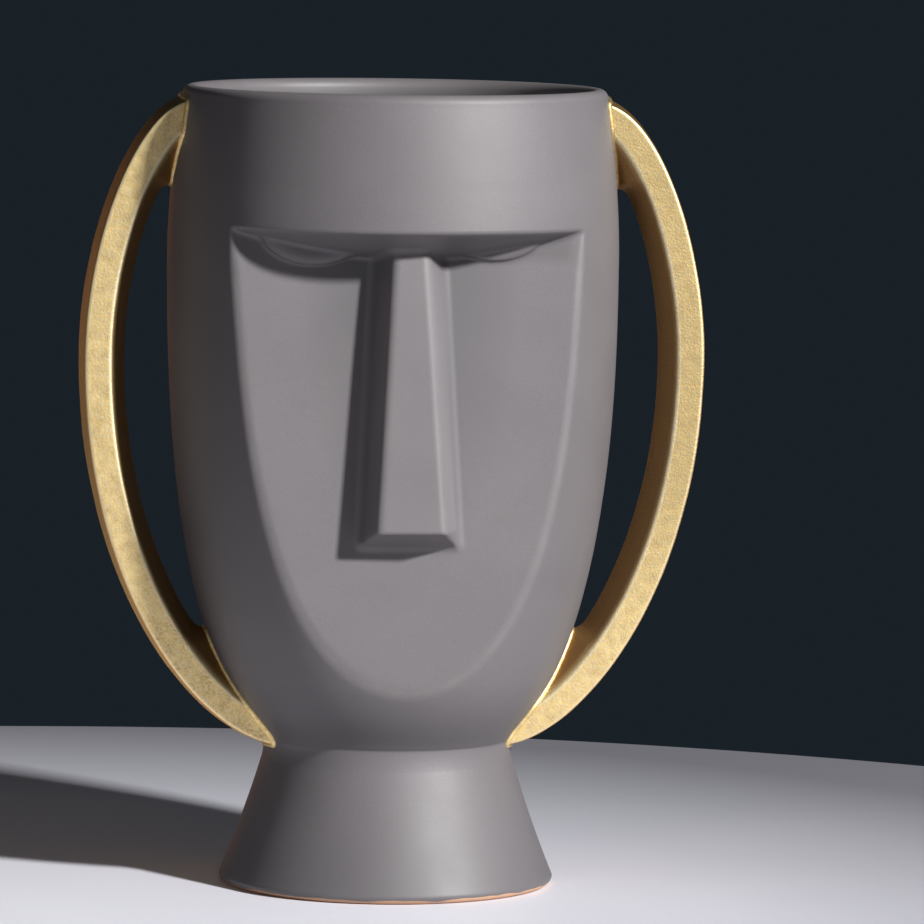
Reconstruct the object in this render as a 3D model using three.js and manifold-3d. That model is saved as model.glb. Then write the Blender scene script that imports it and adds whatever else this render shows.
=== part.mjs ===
// Face flower pot: a slip-cast head on a flared foot, with two strap handles.
// Millimetres, +Z up, the face looks along -Y, origin under the middle of the foot.
import * as THREE from 'three';
import { mergeVertices } from 'three/addons/utils/BufferGeometryUtils.js';
import { ConvexGeometry } from 'three/addons/geometries/ConvexGeometry.js';
import Module from 'manifold-3d';

// Clearance between pieces that were luted together
const seatGap = 0.3;

// Cast walls, and the fillet where a floor turns up into a wall
const headWall = 6;
const floorThickness = 7;
const footWall = 6;
const castFillet = 3;

// Pedestal foot, with slightly hollow sides
const footHeight = 42.7;
const footRadius = 52.5;
const footEdgeRound = 2.4;
const footSag = 0.9;
const neckRadius = 38.4;

// Head: heights from its underside, and how far its line runs straight at neck, belly and rim
const headHeight = 207;
const bellyRadius = 70.7;
const bellyHeight = 153.2;
const neckPull = 12.1;
const jawPull = 140.5;
const shoulderPull = 17.5;
const rimPull = 12.5;
const rimTaper = 8;
const rimRadius = 66.5;
const lipRound = 2.9;

// Slip that fills the crease between the head and the foot
const slipReach = 3;
const slipDepth = 2.6;
const slipSag = 0.3;

// Face panel, cut back under the level brow, whose underside falls behind a steep lip to the panel
const browDrop = 42.2;
const browOverhang = 24.5;
const browLipDrop = 2.4;
const browLipReach = 1.4;
const browPitch = 17;
const panelLean = 2.2;

// Nose: a wedge down from the brow, with its root on the panel
const noseLength = 91.8;
const noseUndercut = 5.3;
const noseTopWidth = 10.2;
const noseTipWidth = 20.4;
const noseTopRoot = 20;
const noseTipRoot = 30;
const noseTopStand = 12.2;
const noseTipStand = 15;
const noseArris = 1.2;

// Closed eyelids, tucked up under the brow
const eyeSpacing = 58.6;
const eyeWidth = 33;
const eyeDrop = 11.3;
const eyeBulge = 6;

// Strap handles, across their run
const strapWidth = 14.9;
const strapDepth = 27;
const strapFace = 8.2;
const strapOuterDraft = 2.3;
const strapArris = 1.1;

// Strap handles, along their run: the finger room beside the belly, and where they enter rim and jaw
const fingerRoom = 13;
const handleWidestHeight = 122.7;
const handleLowerPull = 73.8;
const handleUpperPull = 41.5;
const handleTopSunk = 9.1;
const handleTopBelow = 11.4;
const handleTopBow = 4.4;
const handleTopBowBelow = 0.6;
const handleJawSunk = 6.4;
const handleJawAbove = 7.2;
const handleJawBow = 13.5;
const handleJawBowAbove = 5.6;

// Gold-covered collars of slip round the handles' ends
const luteReach = 1.6;

// How far a cutter runs past what it cuts
const overrun = 1;

// Facet counts
const turnSteps = 48;
const jawSteps = 14;
const shoulderSteps = 5;
const footSteps = 6;
const slipSteps = 4;
const lipSteps = 4;
const filletSteps = 3;
const strapSteps = 36;
const lidTurns = 28;
const lidRings = 16;

// Levels and distances that follow from the sizes above
const headLevel = footHeight + seatGap;
const rimLevel = headLevel + headHeight;
const lipLevel = rimLevel - lipRound;
const bellyLevel = headLevel + bellyHeight;
const browLevel = rimLevel - browDrop;
const panelDistance = bellyRadius - browOverhang;
const leanSlope = Math.tan(THREE.MathUtils.degToRad(panelLean));
const browPitchAngle = THREE.MathUtils.degToRad(browPitch);
const taperSlope = Math.tan(THREE.MathUtils.degToRad(rimTaper));
const strapMiddle = bellyRadius + fingerRoom + strapWidth / 2;
const farOut = 2 * bellyRadius;

const wasm = await Module();
wasm.setup();

// Solids

function toSolid(geometry) {
  const bare = geometry.clone();
  bare.deleteAttribute('normal');
  bare.deleteAttribute('uv');
  const merged = mergeVertices(bare, 1e-4);
  const mesh = new wasm.Mesh({
    numProp: 3,
    vertProperties: new Float32Array(merged.attributes.position.array),
    triVerts: new Uint32Array(merged.index.array),
  });
  return new wasm.Manifold(mesh);
}

function toGeometry(solid) {
  const mesh = solid.getMesh();
  const geometry = new THREE.BufferGeometry();
  geometry.setAttribute('position', new THREE.BufferAttribute(mesh.vertProperties, 3));
  geometry.setIndex(new THREE.BufferAttribute(mesh.triVerts, 1));
  geometry.computeVertexNormals();
  return geometry;
}

function trimmed(solid, cutters) {
  return cutters.reduce((rest, cutter) => rest.subtract(cutter), solid);
}

// A lathe turns about Y, so the result is stood up to turn about Z
function turned(profile) {
  const geometry = new THREE.LatheGeometry(profile, turnSteps);
  geometry.rotateX(Math.PI / 2);
  return toSolid(geometry);
}

// A side view of (Y, Z) points, swept the given width along X and centred on the face
function sweptAcross(outline, width) {
  const shape = new THREE.Shape(outline);
  const geometry = new THREE.ExtrudeGeometry(shape, { depth: width, bevelEnabled: false });
  geometry.translate(0, 0, -width / 2);
  geometry.applyMatrix4(new THREE.Matrix4().makeBasis(
    new THREE.Vector3(0, 1, 0),
    new THREE.Vector3(0, 0, 1),
    new THREE.Vector3(1, 0, 0),
  ));
  return toSolid(geometry);
}

// Outlines of (radius, height) points

function bezier(a, b, c, d, steps) {
  const point = ([x, y]) => new THREE.Vector2(x, y);
  return new THREE.CubicBezierCurve(point(a), point(b), point(c), point(d)).getPoints(steps);
}

function arc(centreR, centreZ, radius, from, to, steps) {
  const start = THREE.MathUtils.degToRad(from);
  const end = THREE.MathUtils.degToRad(to);
  return new THREE.EllipseCurve(centreR, centreZ, radius, radius, start, end, to < from)
    .getPoints(steps);
}

// The points moved out square to the line through them, by the given distance
function offsetLine(points, distance) {
  return points.map((point, index) => {
    const before = points[Math.max(index - 1, 0)];
    const after = points[Math.min(index + 1, points.length - 1)];
    const along = after.clone().sub(before).normalize();
    return new THREE.Vector2(point.x + along.y * distance, point.y - along.x * distance);
  });
}

function radiusAt(line, level) {
  for (let i = 1; i < line.length; i += 1) {
    const low = line[i - 1];
    const high = line[i];
    if (level <= high.y) {
      return low.x + (high.x - low.x) * (level - low.y) / (high.y - low.y);
    }
  }
  return line.at(-1).x;
}

// The head's outer line, from the crease at the neck up to the start of the lip
const jawLine = bezier(
  [neckRadius, headLevel],
  [neckRadius, headLevel + neckPull],
  [bellyRadius, bellyLevel - jawPull],
  [bellyRadius, bellyLevel],
  jawSteps,
);
const shoulderLine = bezier(
  [bellyRadius, bellyLevel],
  [bellyRadius, bellyLevel + shoulderPull],
  [rimRadius + rimPull * taperSlope, lipLevel - rimPull],
  [rimRadius, lipLevel],
  shoulderSteps,
);
const headLine = [...jawLine, ...shoulderLine.slice(1)];

// The foot's outer line, from its widest point up to the neck
const footThird = (share) => [
  footRadius + (neckRadius - footRadius) * share - footSag,
  footEdgeRound + (footHeight - footEdgeRound) * share,
];
const footLine = bezier(
  [footRadius, footEdgeRound],
  footThird(1 / 3),
  footThird(2 / 3),
  [neckRadius, footHeight],
  footSteps,
);

// Pedestal foot: a flared skirt with a flat top, open underneath

function footProfile(grow) {
  const creaseStart = footHeight - slipReach;
  const edge = footRadius - footEdgeRound;
  const skirt = offsetLine(footLine, grow).slice(1).filter((point) => point.y < creaseStart);
  return [
    new THREE.Vector2(0, -grow),
    ...arc(edge, footEdgeRound, footEdgeRound + grow, -90, 0, filletSteps),
    ...skirt,
    new THREE.Vector2(radiusAt(footLine, creaseStart) + grow, creaseStart),
    new THREE.Vector2(neckRadius - slipDepth + grow, footHeight + grow),
    new THREE.Vector2(0, footHeight + grow),
  ];
}

function makeFoot() {
  const ceiling = footHeight - footWall;
  const bend = ceiling - castFillet;
  const inner = offsetLine(footLine, -footWall).filter((point) => point.y < bend);
  const bendRadius = radiusAt(offsetLine(footLine, -footWall), bend);
  const hollow = [
    new THREE.Vector2(0, -overrun),
    new THREE.Vector2(inner[0].x, -overrun),
    ...inner,
    ...arc(bendRadius - castFillet, bend, castFillet, 0, 90, filletSteps),
    new THREE.Vector2(0, ceiling),
  ];
  return turned(footProfile(0)).subtract(turned(hollow));
}

// Head: a turned body, cut back to a flat face, hollowed to an even wall

function headProfile(grow) {
  const creaseEnd = headLevel + slipReach;
  const side = offsetLine(headLine, grow).slice(0, -1);
  return [
    new THREE.Vector2(0, headLevel - grow),
    new THREE.Vector2(neckRadius - slipDepth + grow, headLevel - grow),
    new THREE.Vector2(radiusAt(headLine, creaseEnd) + grow, creaseEnd),
    ...side.filter((point) => point.y > creaseEnd + grow),
    ...arc(rimRadius - lipRound, lipLevel, lipRound + grow, 0, 90, lipSteps),
    new THREE.Vector2(0, rimLevel + grow),
  ];
}

function cavityProfile() {
  const floorLevel = headLevel + floorThickness;
  const bend = floorLevel + castFillet;
  const side = offsetLine(headLine, -headWall).filter((point) => point.y > bend);
  const bendRun = side[0].y - floorLevel;
  const crest = rimRadius - lipRound;
  return [
    new THREE.Vector2(0, floorLevel),
    new THREE.Vector2(side[0].x - bendRun, floorLevel),
    ...side.slice(0, -1),
    ...arc(crest, lipLevel, lipRound, 180, 90, lipSteps),
    new THREE.Vector2(crest, rimLevel + overrun),
    new THREE.Vector2(0, rimLevel + overrun),
  ];
}

function panelYAt(level) {
  return -(panelDistance + (browLevel - level) * leanSlope);
}

// What lies under the brow: its top falls from the brow's edge to the axis, raised by inset
function underBrow(inset) {
  const edge = radiusAt(headLine, browLevel);
  const rise = inset / Math.cos(browPitchAngle);
  const lipRadius = edge - browLipReach;
  const lipBottom = browLevel - browLipDrop + rise;
  return turned([
    new THREE.Vector2(0, headLevel - overrun),
    new THREE.Vector2(farOut, headLevel - overrun),
    new THREE.Vector2(farOut, browLevel + rise),
    new THREE.Vector2(edge, browLevel + rise),
    new THREE.Vector2(lipRadius, lipBottom),
    new THREE.Vector2(0, lipBottom - lipRadius * Math.tan(browPitchAngle)),
  ]);
}

// What lies in front of the panel and under the brow, drawn back into the wall by inset
function faceCutter(inset) {
  const top = rimLevel;
  const bottom = headLevel - overrun;
  const front = sweptAcross([
    new THREE.Vector2(-farOut, bottom),
    new THREE.Vector2(panelYAt(bottom) + inset, bottom),
    new THREE.Vector2(panelYAt(top) + inset, top),
    new THREE.Vector2(-farOut, top),
  ], 2 * farOut);
  return front.intersect(underBrow(inset));
}

// A wedge that runs down from the brow, widest and proudest at its tip, undercut below
function makeNose() {
  const sunk = headWall / 2;
  const corners = [];
  const station = (level, width, rootLevel, rootWidth, stand) => {
    const front = panelYAt(level) - stand;
    const spread = (rootWidth - width) / 2 / stand;
    for (const side of [-1, 1]) {
      corners.push(
        new THREE.Vector3(side * (width / 2 - noseArris), front, level),
        new THREE.Vector3(side * (width / 2 + noseArris * spread), front + noseArris, level),
        new THREE.Vector3(
          side * (rootWidth / 2 + sunk * spread),
          panelYAt(rootLevel) + sunk,
          rootLevel,
        ),
      );
    }
  };
  const top = browLevel + overrun;
  const tip = browLevel - noseLength;
  const tipRoot = tip - noseUndercut * (1 + sunk / noseTipStand);
  station(top, noseTopWidth, top, noseTopRoot, noseTopStand);
  station(tip, noseTipWidth, tipRoot, noseTipRoot, noseTipStand);
  return toSolid(new ConvexGeometry(corners));
}

function makeEyelid(side) {
  const lid = new THREE.SphereGeometry(1, lidTurns, lidRings);
  lid.scale(eyeWidth / 2, eyeBulge, eyeDrop);
  lid.translate(side * eyeSpacing / 2, panelYAt(browLevel), browLevel);
  return toSolid(lid);
}

function makeHead() {
  const body = turned(headProfile(0));
  const cavity = turned(cavityProfile()).subtract(faceCutter(headWall));
  return body
    .subtract(faceCutter(0))
    .add(makeNose())
    .add(makeEyelid(-1).intersect(body))
    .add(makeEyelid(1).intersect(body))
    .subtract(cavity);
}

// Slip ring: fills the V of the crease with a slightly hollow outer line

function slipProfile(grow) {
  const top = headLevel + slipReach;
  const bottom = footHeight - slipReach;
  const waist = neckRadius - slipSag;
  const outer = bezier(
    [radiusAt(footLine, bottom), bottom],
    [waist, footHeight - slipReach / 2],
    [waist, headLevel + slipReach / 2],
    [radiusAt(headLine, top), top],
    slipSteps,
  );
  return [
    new THREE.Vector2(0, bottom - grow),
    ...offsetLine(outer, grow),
    new THREE.Vector2(0, top + grow),
  ];
}

// Strap handles: a drafted section swept along one line from under the rim to the jaw

function handlePath() {
  const widestLevel = headLevel + handleWidestHeight;
  const at = (x, z) => new THREE.Vector3(x, 0, z);
  const path = new THREE.CurvePath();
  path.add(new THREE.CubicBezierCurve3(
    at(neckRadius - handleJawSunk, headLevel + handleJawAbove),
    at(neckRadius + handleJawBow, headLevel + handleJawBowAbove),
    at(strapMiddle, widestLevel - handleLowerPull),
    at(strapMiddle, widestLevel),
  ));
  path.add(new THREE.CubicBezierCurve3(
    at(strapMiddle, widestLevel),
    at(strapMiddle, widestLevel + handleUpperPull),
    at(rimRadius + handleTopBow, rimLevel - handleTopBowBelow),
    at(rimRadius - handleTopSunk, rimLevel - handleTopBelow),
  ));
  return path;
}

// The strap across its run, as (outward, depth) corners with every arris taken off
function strapSection() {
  const half = strapWidth / 2;
  const outerEdge = half - strapOuterDraft;
  const innerEdge = outerEdge - strapFace;
  const back = strapDepth / 2;
  const sharp = [[half, 0], [outerEdge, back], [innerEdge, back], [-half, 0]];
  const mirrored = [[innerEdge, -back], [outerEdge, -back]];
  const corners = [...sharp, ...mirrored].map(([x, y]) => new THREE.Vector2(x, y));
  return corners.flatMap((corner, index) => {
    const before = corners[(index + corners.length - 1) % corners.length];
    const after = corners[(index + 1) % corners.length];
    return [before, after].map(
      (other) => corner.clone().add(other.clone().sub(corner).setLength(strapArris)),
    );
  });
}

// A closed loop of corners moved out square to its sides, by the given distance
function offsetLoop(loop, distance) {
  const square = (a, b) => new THREE.Vector2(b.y - a.y, a.x - b.x).normalize();
  return loop.map((corner, index) => {
    const before = square(loop[(index + loop.length - 1) % loop.length], corner);
    const after = square(corner, loop[(index + 1) % loop.length]);
    const middle = before.clone().add(after).normalize();
    return corner.clone().addScaledVector(middle, distance / middle.dot(after));
  });
}

function strapSolid(side, grow) {
  const path = handlePath();
  const section = offsetLoop(strapSection(), grow);
  const ring = section.length;
  const positions = [];
  for (let step = 0; step <= strapSteps; step += 1) {
    const point = path.getPoint(step / strapSteps);
    const along = path.getTangent(step / strapSteps);
    for (const { x: out, y: depth } of section) {
      positions.push(side * (point.x + along.z * out), depth, point.z - along.x * out);
    }
  }
  const faces = [];
  const triangle = (a, b, c) => faces.push(...(side > 0 ? [a, c, b] : [a, b, c]));
  for (let step = 0; step < strapSteps; step += 1) {
    for (let i = 0; i < ring; i += 1) {
      const a = step * ring + i;
      const b = step * ring + (i + 1) % ring;
      triangle(a, a + ring, b);
      triangle(b, a + ring, b + ring);
    }
  }
  const last = strapSteps * ring;
  for (let i = 1; i < ring - 1; i += 1) {
    triangle(0, i, i + 1);
    triangle(last, last + i + 1, last + i);
  }
  const geometry = new THREE.BufferGeometry();
  geometry.setAttribute('position', new THREE.Float32BufferAttribute(positions, 3));
  geometry.setIndex(faces);
  return toSolid(geometry);
}

// Lutes: collars of slip, thickest in the corner where the strap's skin meets the head

function makeCollar(side) {
  const vessel = (grow) => turned(headProfile(seatGap + grow));
  const strap = (grow) => strapSolid(side, seatGap + grow);
  const flat = strap(luteReach).intersect(vessel(luteReach / 2));
  const upright = strap(luteReach / 2).intersect(vessel(luteReach));
  return flat.add(upright);
}

// The part of a collar above or below the middle of the head
function halfOf(collar, side, upper) {
  const half = new THREE.BoxGeometry(farOut, farOut, headHeight);
  half.translate(side * farOut / 2, 0, bellyLevel + (upper ? 0.5 : -0.5) * headHeight);
  return collar.intersect(toSolid(half));
}

// Finishes
const greyGlaze = new THREE.MeshStandardMaterial({ color: 0x7d7779, roughness: 0.55, metalness: 0 });
const goldLustre = new THREE.MeshStandardMaterial({ color: 0xcfae70, roughness: 0.35, metalness: 1 });

const pot = new THREE.Group();

function addPiece(name, solid, material) {
  const mesh = new THREE.Mesh(toGeometry(solid), material);
  mesh.name = name;
  pot.add(mesh);
}

// The outside of the head and the foot with the clearance added, to trim what is luted on
const headBlock = turned(headProfile(seatGap));
const footBlock = turned(footProfile(seatGap));
const slipBlock = turned(slipProfile(seatGap));
const slipRing = turned(slipProfile(0)).subtract(headBlock).subtract(footBlock);

addPiece('head_shell', makeHead(), greyGlaze);
addPiece('pedestal_foot', makeFoot(), greyGlaze);
addPiece('neck_slip_ring', slipRing, greyGlaze);

for (const [sideName, side] of [['left', -1], ['right', 1]]) {
  const vessel = [headBlock, footBlock, slipBlock];
  const collar = trimmed(makeCollar(side), [...vessel, strapSolid(side, seatGap)]);
  addPiece(`${sideName}_handle`, trimmed(strapSolid(side, 0), vessel), goldLustre);
  addPiece(`${sideName}_upper_lute`, halfOf(collar, side, true), goldLustre);
  addPiece(`${sideName}_lower_lute`, halfOf(collar, side, false), goldLustre);
}

export default pot;
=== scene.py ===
import math

import bpy
import numpy as np
from mathutils import Matrix


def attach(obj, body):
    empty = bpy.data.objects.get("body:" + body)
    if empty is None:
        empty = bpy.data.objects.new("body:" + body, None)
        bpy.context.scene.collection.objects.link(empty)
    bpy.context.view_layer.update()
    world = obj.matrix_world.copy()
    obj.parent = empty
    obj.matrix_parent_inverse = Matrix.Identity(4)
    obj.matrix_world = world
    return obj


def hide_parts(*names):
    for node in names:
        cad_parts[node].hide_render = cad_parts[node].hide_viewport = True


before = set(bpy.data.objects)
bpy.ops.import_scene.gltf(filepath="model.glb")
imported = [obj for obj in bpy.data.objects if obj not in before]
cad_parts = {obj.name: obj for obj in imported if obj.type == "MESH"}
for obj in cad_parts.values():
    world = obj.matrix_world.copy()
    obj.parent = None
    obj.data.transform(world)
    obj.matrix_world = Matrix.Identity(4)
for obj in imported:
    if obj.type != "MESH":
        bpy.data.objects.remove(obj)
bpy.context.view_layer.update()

MM = 0.001

# Sizes of the pot in millimetres, as in the part's source
HEAD_WALL = 6.0
FLOOR_THICKNESS = 7.0
FOOT_WALL = 6.0
CAST_FILLET = 3.0
FOOT_HEIGHT = 42.7
FOOT_RADIUS = 52.5
FOOT_EDGE_ROUND = 2.4
FOOT_SAG = 0.9
FOOT_FLAT = 2.0
FOOT_INNER_BEVEL = 0.6
NECK_RADIUS = 38.4
HEAD_LEVEL = 43.0
RIM_LEVEL = 250.0
BELLY_RADIUS = 70.7
BELLY_LEVEL = 196.2
NECK_PULL = 12.1
JAW_PULL = 140.5
SHOULDER_PULL = 17.5
RIM_PULL = 12.5
RIM_TAPER = math.tan(math.radians(8.0))
RIM_RADIUS = 66.5
LIP_ROUND = 2.9
LIP_LEVEL = RIM_LEVEL - LIP_ROUND

# Slip in the crease over the foot: it laps onto head and foot, and stands off them by SLIP_SWELL
SLIP_REACH = 3.0
SLIP_DEPTH = 2.6
SLIP_LAP_ABOVE = 0.6
SLIP_LAP_BELOW = 1.1
SLIP_PULL = 2.4
SLIP_SWELL = (-0.04, 0.04, 0.05, -0.12)
SLIP_BACK_RADIUS = (36.9, 36.6)
SLIP_BACK_STEP = 1.2

# Face, in millimetres. -1 is the left side as seen from the front, and 1 the right
BROW_LEVEL = 207.8
BROW_LIFT = 0.7
BROW_LIP_DROP = 0.7
BROW_LIP_REACH = 1.0
BROW_PITCH = math.tan(math.radians(20.0))
BROW_FILLET = 1.4
BROW_ARRIS = 0.6
CHEEK_ARRIS = 1.5
CHEEK_ARRIS_LEVELS = (196.0, 206.0)
PANEL_DISTANCE = 46.2
PANEL_LEAN = math.tan(math.radians(2.2))
PANEL_HOLLOW = 1.6
HOLLOW_REACH = 13.0
PANEL_TWIST = (math.tan(math.radians(0.3)), math.tan(math.radians(1.5)))
NOSE_LENGTH = 91.8
NOSE_UNDERCUT = 5.3
NOSE_FRONT_HALF = (4.9, 10.7)
NOSE_ROOT_HALF = (10.0, 15.0)
NOSE_STAND = (11.0, 13.7)
NOSE_SHIFT = (0.4, 1.15)
NOSE_ARRIS = {-1: 1.6, 1: 1.9}
NOSE_TIP_ARRIS = 0.9
NOSE_ROOT_FILLET = 2.2
LID_CENTRE = {-1: -28.5, 1: 28.0}
LID_HALF_WIDTH = {-1: 17.0, 1: 14.6}
LID_BULGE = 7.0
LID_DROP = {-1: 10.9, 1: 9.1}
LID_TILT = {-1: 0.0, 1: 0.04}
LID_FRONT = {-1: 3.2, 1: 2.0}
LID_FRONT_SLOPE = 0.08
LID_ARRIS = {-1: 1.8, 1: 0.9}
LID_FILLET = {-1: 0.3, 1: 1.3}
FOLD_ROLL = 0.7

# Slow waves of the cast skin: how many round the pot, millimetres up per radian, and start
CAST_WAVE = 0.04
CAST_WAVES = ((3, 31, 0), (5, -19, 2), (2, 13, 0))

# Painted shade in the face's recesses and under the brow, a painted highlight on the nose, and thin
# glaze on the arrises. A fade is its start and its reach, in millimetres
RECESS_SHADE_FROM = 12.5
RECESS_SHADE_TO = 22.0
NOSE_FRONT_HIGHLIGHT = 0.3
HIGHLIGHT_STAND_FADE = (0.3, 1.5)
HIGHLIGHT_BROW_FADE = (0.5, 1.0)
HIGHLIGHT_FLANK_FADE = (-0.5, 1.0)
HIGHLIGHT_PAST_ROOT = 1.5
BROW_SHADE_LEVEL_FADE = (-11.0, 4.0)
BROW_SHADE_RIGHT_FADE = (3.0, 8.0)
BROW_SHADE_RECESS_FADE = (0.9, 3.0)
BROW_SHADE_UNDER_FADE = (-0.6, 1.0)
BROW_SHADE_CORNER = 14.0
BROW_SHADE_CORNER_REACH = 6.0
BROW_SHADE_PLAIN = 0.35
ARRIS_WEAR_DEPTH = 0.45

# Strap handles, in millimetres, and the (x, z) ends and pulls of their line
STRAP_WIDTH = 14.3
STRAP_DEPTH = 27.0
STRAP_FACE = 8.3
STRAP_DRAFT = 1.3
STRAP_ARRIS = 0.6
STRAP_MIDDLE = BELLY_RADIUS + 13.15 + STRAP_WIDTH / 2
STRAP_SUNK = 1.5
STRAP_JAW_END = (32.0, 50.2)
STRAP_JAW_PULL = (51.9, 48.6)
STRAP_LOWER_PULL = 91.9
STRAP_WIDEST_LEVEL = 165.7
STRAP_UPPER_PULL = 207.2
STRAP_RIM_PULL = (70.9, 249.4)
STRAP_RIM_END = (57.4, 238.6)
PLUG_RISE = 12.0
FLARE = 2.1
FLARE_START = {"upper": 6.5, "lower": 8.0}
FLARE_FALL = 1.6
FLARE_LIMIT = 4.0
STRAP_UNEVEN = 0.35
STRAP_UNEVEN_SIZE = 16.0

# Beads of slip along the handles' joints: shares of the radius on the inner ridge, near and far arris
BEAD_RADIUS = 1.15
BEAD_SHARES = (0.95, 0.28, 0.2)
BEAD_UNEVEN = 0.6
BEAD_UNEVEN_SIZE = 7.0
BEAD_SEED_STEP = 5


# Lines of (radius, height) points


def bezier(a, b, c, d, steps):
    t = np.linspace(0, 1, steps + 1)[:, None]
    a, b, c, d = (np.array(point, float) for point in (a, b, c, d))
    return a * (1 - t) ** 3 + 3 * b * t * (1 - t) ** 2 + 3 * c * t**2 * (1 - t) + d * t**3


def arc(centre_r, centre_z, radius, start, end, steps):
    turn = np.radians(np.linspace(start, end, steps + 1))
    return np.stack([centre_r + radius * np.cos(turn), centre_z + radius * np.sin(turn)], 1)


def direction(line):
    along = np.gradient(line, axis=0)
    return along / np.linalg.norm(along, axis=1, keepdims=True)


def offset_line(line, distance):
    along = direction(line)
    return line + distance * np.stack([along[:, 1], -along[:, 0]], 1)


def radius_at(line, level):
    return np.interp(level, line[:, 1], line[:, 0])


jaw_line = bezier(
    (NECK_RADIUS, HEAD_LEVEL),
    (NECK_RADIUS, HEAD_LEVEL + NECK_PULL),
    (BELLY_RADIUS, BELLY_LEVEL - JAW_PULL),
    (BELLY_RADIUS, BELLY_LEVEL),
    steps=240,
)
shoulder_line = bezier(
    (BELLY_RADIUS, BELLY_LEVEL),
    (BELLY_RADIUS, BELLY_LEVEL + SHOULDER_PULL),
    (RIM_RADIUS + RIM_PULL * RIM_TAPER, LIP_LEVEL - RIM_PULL),
    (RIM_RADIUS, LIP_LEVEL),
    steps=90,
)
head_line = np.concatenate([jaw_line, shoulder_line[1:]])
head_inner_line = offset_line(head_line, -HEAD_WALL)


def foot_third(share):
    return (
        FOOT_RADIUS + (NECK_RADIUS - FOOT_RADIUS) * share - FOOT_SAG,
        FOOT_EDGE_ROUND + (FOOT_HEIGHT - FOOT_EDGE_ROUND) * share,
    )


foot_line = bezier(
    (FOOT_RADIUS, FOOT_EDGE_ROUND),
    foot_third(1 / 3),
    foot_third(2 / 3),
    (NECK_RADIUS, FOOT_HEIGHT),
    steps=60,
)
lip_line = arc(RIM_RADIUS - LIP_ROUND, LIP_LEVEL, LIP_ROUND, start=0, end=88, steps=16)
pot_line = np.concatenate([foot_line, head_line[1:], lip_line[1:]])


# Meshes


def add_object(name, data):
    made = bpy.data.objects.new(name, data)
    bpy.context.scene.collection.objects.link(made)
    return made


def new_piece(name, points, faces, material=None):
    mesh = bpy.data.meshes.new(name)
    mesh.from_pydata((np.asarray(points) * MM).tolist(), [], faces)
    mesh.polygons.foreach_set("use_smooth", [True] * len(mesh.polygons))
    mesh.update()
    if material:
        mesh.materials.append(material)
    return add_object(name, mesh)


def finish_piece(piece, node):
    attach(piece, "root")
    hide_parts(node)


def full_circle(columns):
    return np.linspace(0, 2 * math.pi, columns + 1)[:-1][None, :]


def turned_rows(line, turn):
    """Rings at each (radius, height) of the line, with the given turns."""
    radius, height = line[:, 0:1], line[:, 1:2]
    x = radius * np.sin(turn)
    y = -radius * np.cos(turn)
    return np.stack([x, y, height + 0 * x])


def ring_faces(rows, columns):
    """Quads between closed rings of points that follow each other, outwards for a rising outline."""
    row = np.arange(rows - 1)[:, None] * columns
    here = np.arange(columns)[None, :]
    after = (here + 1) % columns
    corners = [row + here, row + after, row + columns + after, row + columns + here]
    return np.stack(corners, -1).reshape(-1, 4).tolist()


def closed_rings(name, rings, low, high, material=None):
    """Rings joined into a closed piece, with a point on the axis at low and one at high."""
    rows, columns = rings.shape[1:]
    faces = ring_faces(rows, columns)
    low_pole = rows * columns
    last_ring = low_pole - columns
    for here in range(columns):
        after = (here + 1) % columns
        faces.append([low_pole, after, here])
        faces.append([low_pole + 1, last_ring + here, last_ring + after])
    points = np.concatenate([rings.reshape(3, -1).T, [[0, 0, low], [0, 0, high]]])
    return new_piece(name, points, faces, material)


def mark_points(mesh, label, values):
    """Gives each point of the mesh a number, or a vector, that nodes can read."""
    kind, field = ("FLOAT", "value") if values.ndim == 1 else ("FLOAT_VECTOR", "vector")
    marks = mesh.attributes.new(label, kind, "POINT")
    marks.data.foreach_set(field, values.astype(np.float32).ravel())


# The face, as a field that is negative inside the clay


def rounded_both(a, b, r):
    """What lies in a and in b, with the arris between them rounded."""
    return np.minimum(-r, np.maximum(a, b)) + np.hypot(np.maximum(a + r, 0), np.maximum(b + r, 0))


def rounded_either(a, b, r):
    """What lies in a or in b, with the corner between them filled."""
    return -rounded_both(-a, -b, r)


def down_nose(z):
    """Share of the nose's length at a level, up to a little past its tip."""
    return np.clip((BROW_LEVEL - z) / NOSE_LENGTH, 0, 1.1)


def nose_section(share):
    """Half widths in front and at the panel, stand and shift of the nose at a share of its length."""
    return (
        top + (tip - top) * share
        for top, tip in (NOSE_FRONT_HALF, NOSE_ROOT_HALF, NOSE_STAND, NOSE_SHIFT)
    )


def panel_y(z, x=0):
    """The panel is hollowed under the brow, leans out towards the chin and is twisted a little."""
    twist = PANEL_TWIST[0] + (PANEL_TWIST[1] - PANEL_TWIST[0]) * down_nose(z)
    hollow = PANEL_HOLLOW * np.exp(-np.maximum(BROW_LEVEL - z, 0) / HOLLOW_REACH)
    return hollow - (PANEL_DISTANCE + (BROW_LEVEL - z) * PANEL_LEAN) + x * twist


def above_brow(p):
    """Distance over the brow's underside, which drops at a steep lip and then falls to the panel."""
    x, y, z = p
    depth = np.maximum(radius_at(head_line, BROW_LEVEL) - np.hypot(x, y), 0)
    drop = BROW_LIP_DROP * (1 - np.exp(-depth / BROW_LIP_REACH)) + BROW_PITCH * depth
    return (z - BROW_LEVEL - BROW_LIFT + drop) / math.hypot(1, BROW_PITCH)


def cast_body(p, line, inset, soft):
    """The turned body, cut back to the panel under the brow, all of it drawn in by inset."""
    x, y, z = p
    slope = np.gradient(line[:, 0], line[:, 1])
    upright = 1 / np.hypot(1, np.interp(z, line[:, 1], slope))
    body = (np.hypot(x, y) - radius_at(line, z)) * upright
    cut_face = y - panel_y(z, x) - inset
    cut_brow = above_brow(p) - inset
    cut = rounded_both(cut_face, cut_brow, soft * (BROW_FILLET + inset))
    arris = np.interp(z, CHEEK_ARRIS_LEVELS, [CHEEK_ARRIS, BROW_ARRIS])
    return rounded_both(body, -cut, soft * arris)


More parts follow.
